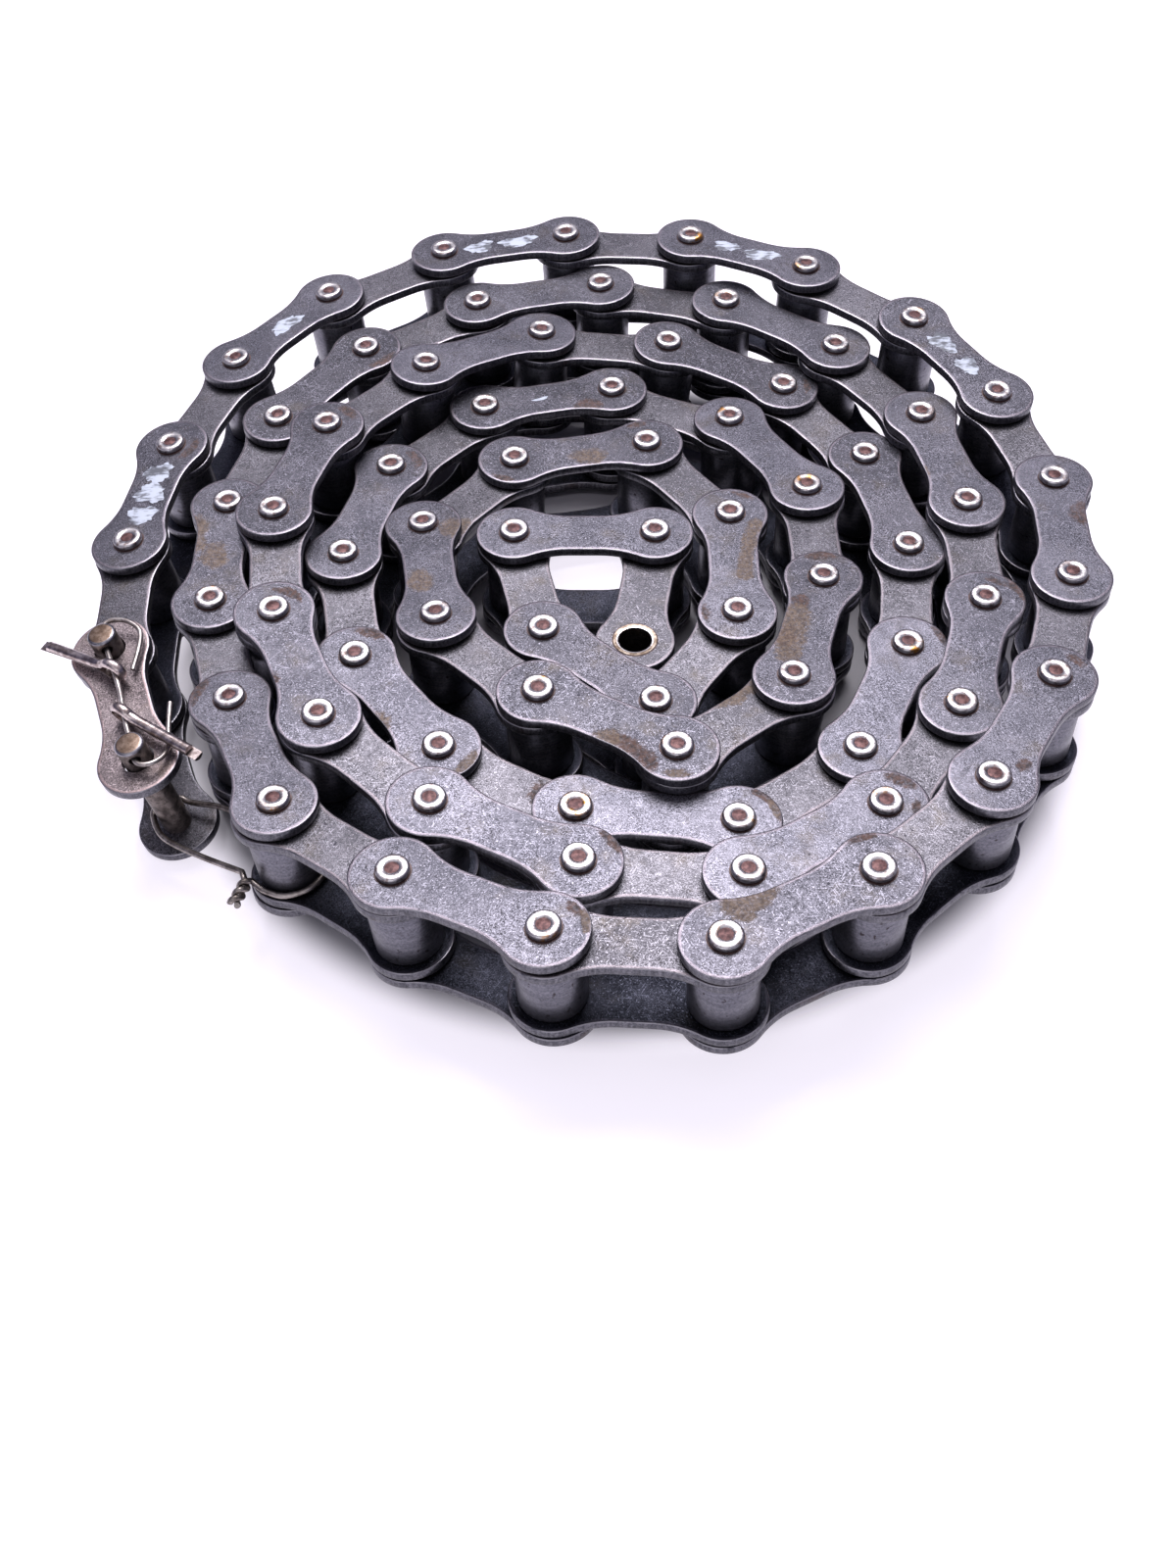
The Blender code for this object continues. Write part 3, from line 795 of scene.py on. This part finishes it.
def connecting_link(place, chain_materials):
    """The connecting link at the outer end: pin plate, loose cover plate, wire and split pins."""
    top = OUTER_FACE + PLATE_THICK
    pin_top = top + LONG_PIN_PROUD
    pieces = [plate(-top, -OUTER_FACE)]
    cutters = []
    for x in (0.0, PITCH):
        pieces.append(lathe((
            (0.0, -OUTER_FACE - 0.5, PIN), (PIN_RADIUS, -OUTER_FACE - 0.5, PIN),
            (PIN_RADIUS, pin_top - 0.65, EDGE), (PIN_RADIUS - 0.25, pin_top - 0.3, EDGE),
            (PIN_RADIUS - 0.7, pin_top - 0.06, RING), (PIN_RADIUS - 1.0, pin_top, RING), (0.0, pin_top, RING),
        ), x, 36))
        pieces.append(head(x, top, HEAD_PROUD, down=True))
        hole = rod(CROSS_HOLE_RADIUS, -6.0, 6.0, PIN, sides=20)
        middle = Matrix.Translation(Vector((x, 0, pin_top - CROSS_HOLE_DROP)) * MM)
        cutters.append((hole, middle @ Matrix.Rotation(math.pi / 2, 4, "Y")))
    mesh = cut_away(new_mesh("connecting_pins", join(pieces)), cutters)
    brown = simple_metal("brown_pin", (0.08, 0.066, 0.06), (0.19, 0.16, 0.148), 0.4, 450.0, 0.9)
    brass = simple_metal("brassy_pin_top", (0.13, 0.088, 0.065), (0.255, 0.19, 0.15), 0.4, 500.0)
    own = {PIN: brown, RING: brass}
    dress(mesh, [own.get(slot, material) for slot, material in enumerate(chain_materials)])
    show("connecting_pins", mesh, place, ["connecting_pin_plate"])
    holes = [(rod(COVER_HOLE_RADIUS, 12.0, 18.0, PLATE, x, 36), Matrix()) for x in (0.0, PITCH)]
    cover = cut_away(new_mesh("cover_plate", plate(OUTER_FACE, top)), holes)
    wear(cover)
    warm = plate_material("cover_steel", (0.12, 0.10, 0.105), (0.225, 0.19, 0.195), 0.4)
    dress(cover, (warm, chain_materials[EDGE], chain_materials[SIDE]))
    show("cover_plate", cover, place, ["connecting_cover_plate"])
    wire = new_mesh("thin_wire", tube(curve_points(PIN_WIRE, 8), THIN_WIRE_RADIUS), SHARP_ON_WIRE)
    dress(wire, [simple_metal("thin_wire", (0.30, 0.265, 0.25), (0.52, 0.48, 0.46), 0.38, 300.0)])
    show("thin_wire", wire, place, ["pin_wire"])
    pin_look = simple_metal("split_pin_steel", (0.26, 0.205, 0.195), (0.62, 0.54, 0.52), 0.3, 420.0)
    for name, (eye, tip) in COTTERS.items():
        shape, where = split_pin(Vector(eye), Vector(tip))
        mesh = new_mesh(name, shape, SHARP_ON_SPLIT_PIN)
        dress(mesh, [pin_look])
        show("split_" + name, mesh, place @ in_metres(where), [name])


def dab(along, across, length, width, turn):
    """A thin ragged dab of paint on an upper plate."""
    top = OUTER_FACE + PLATE_THICK
    turn = math.radians(turn)
    steps = 44
    corners, rings = [], []
    for share, height in ((1.0, top - 0.05), (1.0, top + 0.03), (0.8, top + 0.1)):
        rings.append(list(range(len(corners), len(corners) + steps)))
        for i in range(steps):
            angle = 2 * math.pi * i / steps
            ragged = 1 + 0.13 * math.sin(3 * angle + along) + 0.1 * math.sin(7 * angle + along)
            ragged = share * (ragged + 0.07 * math.sin(13 * angle))
            u = 0.5 * length * math.copysign(abs(math.cos(angle)) ** 0.8, math.cos(angle)) * ragged
            v = 0.5 * width * math.copysign(abs(math.sin(angle)) ** 0.7, math.sin(angle)) * ragged
            v += 0.07 * length * math.sin(2.2 * u / length + along)
            x, y = u * math.cos(turn) - v * math.sin(turn), u * math.sin(turn) + v * math.cos(turn)
            corners.append((along + x, across + y, height))
    faces = skin(rings)
    return corners, faces, [0] * len(faces)


def paint_dabs(axes):
    """The dabs on each painted link, as one piece a link."""
    paint = Nodes("white_paint")
    streaks = paint.noise(1.0, 3.0, 0.6, paint.stretched((260.0, 900.0, 400.0)))
    thin = paint.ramp(paint.math("ADD", streaks, paint.noise(230.0, 3.0)), 0.84, 1.12)
    paint.bump(thin, 0.3, 0.0001)
    look = paint.done(paint.mix(thin, (0.085, 0.09, 0.11), (0.44, 0.48, 0.57)), 0.5, 0.0)
    for link in sorted({row[0] for row in DABS}):
        shape = join([dab(*row[1:]) for row in DABS if row[0] == link])
        mesh = new_mesh(f"paint_{link:02d}", shape, SHARP_ON_WIRE)
        dress(mesh, [look])
        show(f"paint_{link:02d}", mesh, in_metres(link_frame(axes, link)))


def tie_wire(start):
    """The wire that ties the coil, its two ends twisted together."""
    root, tip = start + TWIST_ROOT, start + TWIST_TIP
    loop = curve_points([start + Vector(point) for point in TIE], 8)
    points = strand(root, tip, math.pi)[::-1] + loop + strand(root, tip, 0.0)
    tie = new_mesh("tie_wire_loop", tube(points, TIE_WIRE_RADIUS), SHARP_ON_WIRE)
    dress(tie, [simple_metal("tie_wire_steel", (0.14, 0.12, 0.11), (0.35, 0.315, 0.295), 0.38, 300.0)])
    show("tie_wire_loop", tie, Matrix(), ["tie_wire"])


def cad_node(link):
    """The CAD node that holds a link."""
    if link == LINKS - 1:
        return "inner_end_link"
    if link <= LAST_SINGLE_LINK:
        return ("pin_link_%02d", "roller_link_%02d")[link % 2] % link
    first = link if link % 2 else link - 1
    return f"link_pair_{first:02d}_{first + 1:02d}"


def build_chain():
    axes = chain_axes()
    materials = link_materials()
    inner, outer = new_mesh("roller_link", roller_link()), new_mesh("pin_link", pin_link())
    dress(outer, materials)
    materials[PLATE] = plate_material("inner_plate", (0.066, 0.064, 0.074), (0.104, 0.100, 0.114), 0.36)
    dress(inner, materials)
    last = new_mesh("end_link", join([roller(0.0), bushing_end(0.0), open_bushing()]))
    dress(last, materials)
    bore = rod(BUSHING_BORE, -20.0, 20.0, BUSHING, PITCH, 40)
    for shape in both_plates(INNER_FACE):
        last = merged(last, cut_away(new_mesh("end_plate", shape), [(bore, Matrix())]))
    for mesh in (inner, outer, last):
        wear(mesh)
    connecting_link(in_metres(link_frame(axes, 0)), materials)
    for link in range(1, LINKS):
        source = last if link == LINKS - 1 else (outer, inner)[link % 2]
        mesh = source.copy()
        stain(mesh, link)
        show(f"link_{link:02d}", mesh, in_metres(link_frame(axes, link)), [cad_node(link)])
    paint_dabs(axes)
    tie_wire(axes[0])


def build_stage():
    """A grey floor that glows as painted light round the coil and in its middle, and is dark beneath the coil
    as painted shade.
    """
    bpy.ops.mesh.primitive_plane_add(size=6.0, location=(0, 0, 0))
    floor = bpy.context.object
    floor.name = "floor"
    glow_floor = Nodes("floor_painted_glow_and_shade")
    # Painted light: the floor glows beyond a ring round the coil and in the coil's middle; within the ring,
    # beneath the coil, the glow fades out as painted shade
    glow_round_coil = glow_floor.by_distance((0.012, -0.006, 0.0), 0.126, 0.139, 0.0, 0.78)
    middle = glow_floor.by_distance((0.003, 0.034, 0.0), 0.013, 0.022, 0.85, 0.0)
    glow_floor.wire(glow_floor.math("MAXIMUM", glow_round_coil, middle), glow_floor.shader.inputs["Emission Strength"])
    glow_floor.wire((0.95, 0.90, 1.0), glow_floor.shader.inputs["Emission Color"])
    floor.data.materials.append(glow_floor.done((0.42, 0.41, 0.44), 0.8, 0.0))


def add_area(name, place, target, size, power, colour):
    light = bpy.data.lights.new(name, "AREA")
    light.shape = "RECTANGLE"
    light.size, light.size_y = size
    light.energy = power
    light.color = colour
    obj = bpy.data.objects.new(name, light)
    bpy.context.scene.collection.objects.link(obj)
    obj.location = place
    obj.rotation_euler = (Vector(target) - Vector(place)).to_track_quat("-Z", "Y").to_euler()


def build_lights():
    world = bpy.data.worlds.new("studio")
    world.use_nodes = True
    tree = world.node_tree
    place = tree.nodes.new("ShaderNodeTexCoord")
    split = tree.nodes.new("ShaderNodeSeparateXYZ")
    height = tree.nodes.new("ShaderNodeMapRange")
    sky = tree.nodes.new("ShaderNodeMix")
    sky.data_type = "RGBA"
    tree.links.new(place.outputs["Generated"], split.inputs[0])
    tree.links.new(split.outputs["Z"], height.inputs["Value"])
    height.inputs["From Min"].default_value = 0.38
    height.inputs["From Max"].default_value = 0.9
    tree.links.new(height.outputs["Result"], sky.inputs["Factor"])
    sky.inputs[6].default_value = (0.055, 0.055, 0.14, 1)
    sky.inputs[7].default_value = (0.82, 0.79, 0.88, 1)
    tree.links.new(sky.outputs[2], tree.nodes["Background"].inputs["Color"])
    tree.nodes["Background"].inputs["Strength"].default_value = 1.0
    bpy.context.scene.world = world
    bpy.context.scene.view_settings.view_transform = "Standard"
    add_area("overhead", (0.0, 0.55, 1.2), (0, 0, 0), (0.9, 0.7), 24.0, (1.0, 0.97, 1.0))
    add_area("front", (-0.3, -1.0, 0.5), (0, 0, 0.02), (0.9, 0.4), 2.4, (0.97, 0.97, 1.0))


def build_camera():
    pitch, roll = math.radians(CAMERA_PITCH), math.radians(CAMERA_ROLL)
    forward = Vector((0, math.cos(pitch), -math.sin(pitch)))
    right = Vector((1, 0, 0))
    down = forward.cross(right)
    image_x = right * math.cos(roll) + down * math.sin(roll)
    image_y = down * math.cos(roll) - right * math.sin(roll)
    turned = Matrix((image_x, -image_y, -forward)).transposed().to_4x4()
    data = bpy.data.cameras.new("camera")
    data.sensor_fit = "VERTICAL"
    data.sensor_height = 36.0
    data.lens = CAMERA_LENS
    data.clip_start = 0.01
    camera = bpy.data.objects.new("camera", data)
    bpy.context.scene.collection.objects.link(camera)
    camera.matrix_world = Matrix.Translation(CAMERA_PLACE * MM) @ turned
    bpy.context.scene.camera = camera


build_chain()
build_stage()
build_lights()
build_camera()
